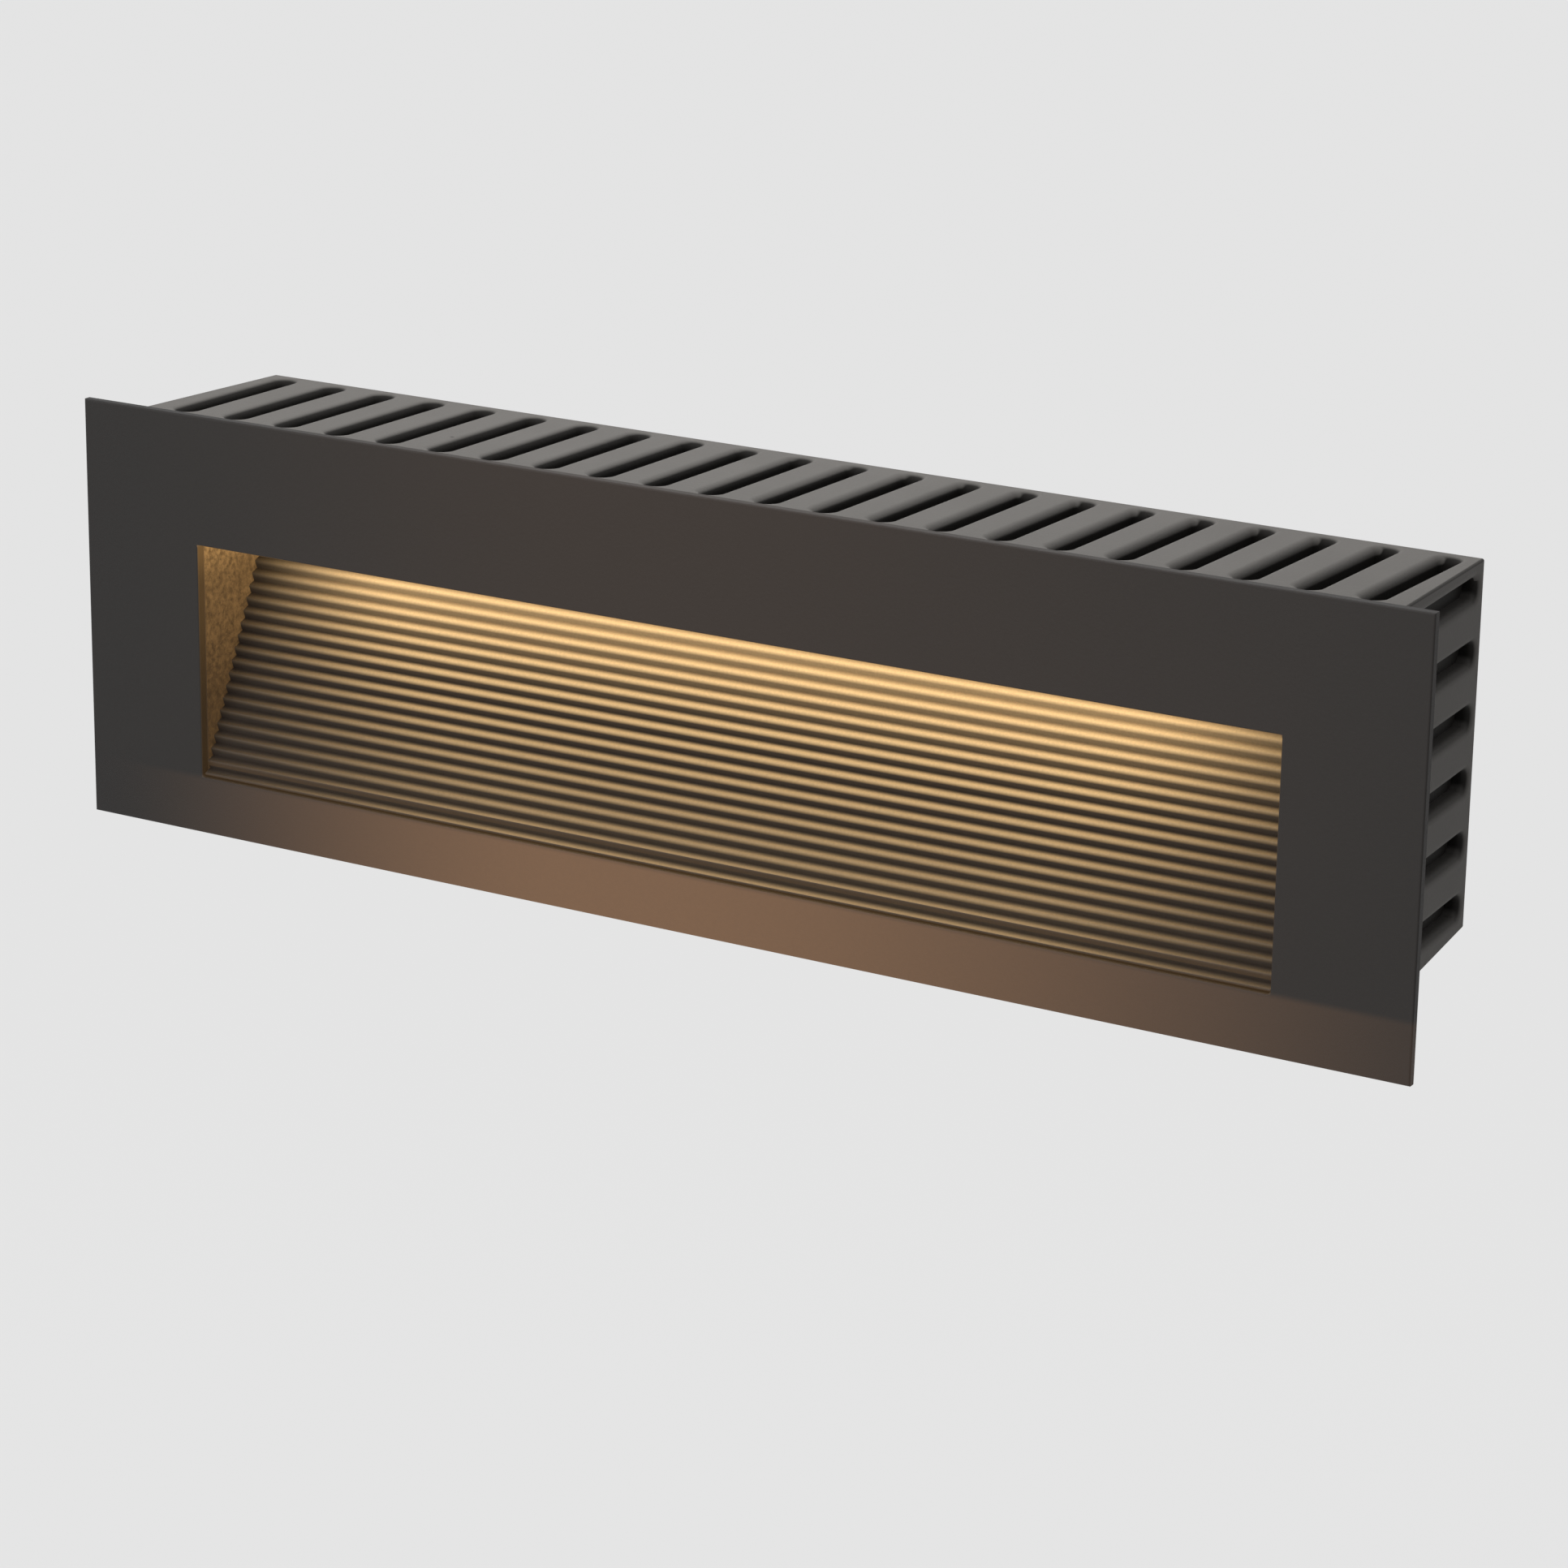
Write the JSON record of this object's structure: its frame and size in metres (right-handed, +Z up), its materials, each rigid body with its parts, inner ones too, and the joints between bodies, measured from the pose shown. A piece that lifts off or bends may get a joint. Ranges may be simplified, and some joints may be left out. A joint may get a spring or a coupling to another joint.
{
  "type": "recessed step light",
  "caption": "Long recessed step light: flat faceplate with a window onto a ribbed slope washed from above, in a grooved back box with a cable gland.",
  "frame": {"origin": "centre of the faceplate's back, in the plane of the wall's surface", "axes": "+X to the right as seen from the front, +Y into the wall, +Z up"},
  "size_m": [0.255, 0.0568, 0.075],
  "materials": {
    "plate_paint": "satin charcoal powder coat",
    "tray_paint": "fine-cast surface with a sandy bronze paint",
    "box_paint": "matt grey paint on a casting",
    "foam": "closed-cell foam",
    "silicone": "cured silicone",
    "steel": "stainless steel",
    "spring_steel": "bright spring strip",
    "aluminium": "extruded, as drawn",
    "tape": "grey-white thermal tape",
    "frosted_plastic": "frosted, lets light through",
    "circuit_board": "white solder mask",
    "chip": "yellow phosphor in a white frame",
    "driver_plastic": "black moulded case",
    "potting": "cast filling compound",
    "terminal_plastic": "cream moulded block",
    "mains_insulation": "brown and blue insulation",
    "earth_insulation": "green insulation with a yellow stripe",
    "low_voltage_insulation": "red and black insulation",
    "brass": "turned brass",
    "gland_plastic": "black moulded nylon",
    "seal_rubber": "soft black rubber"
  },
  "bodies": {
    "back_box_body": {"back_box": "box_paint", "box_earth_screw": "brass", "box_earth_washer": "brass", "gland_washer": "seal_rubber", "gland_body": "gland_plastic", "gland_locknut": "gland_plastic", "gland_seal": "seal_rubber", "gland_cap": "gland_plastic"},
    "light_insert": {"faceplate": "plate_paint", "face_gasket": "foam", "face_studs": "steel", "stud_washers": "steel", "stud_nuts": "steel", "ribbed_tray": "tray_paint", "diffuser_gasket": "silicone", "diffuser": "frosted_plastic", "led_carrier": "aluminium", "thermal_tape": "tape", "led_board": "circuit_board", "led_chips": "chip", "carrier_screws": "steel", "driver_case": "driver_plastic", "driver_potting": "potting", "driver_lid": "driver_plastic", "driver_screws": "steel", "terminal_block": "terminal_plastic", "terminal_screws": "brass", "terminal_fixing_screw": "steel", "mains_leads": "mains_insulation", "led_leads": "low_voltage_insulation", "earth_lead": "earth_insulation", "earth_tag": "brass", "insert_earth_screw": "steel", "grip_springs": "spring_steel"}
  },
  "joints": [
    {"name": "insert_slide", "type": "slide", "parent": "back_box_body", "child": "light_insert", "axis": [0, -1, 0], "range_m": [0, 0.03]}
  ]
}
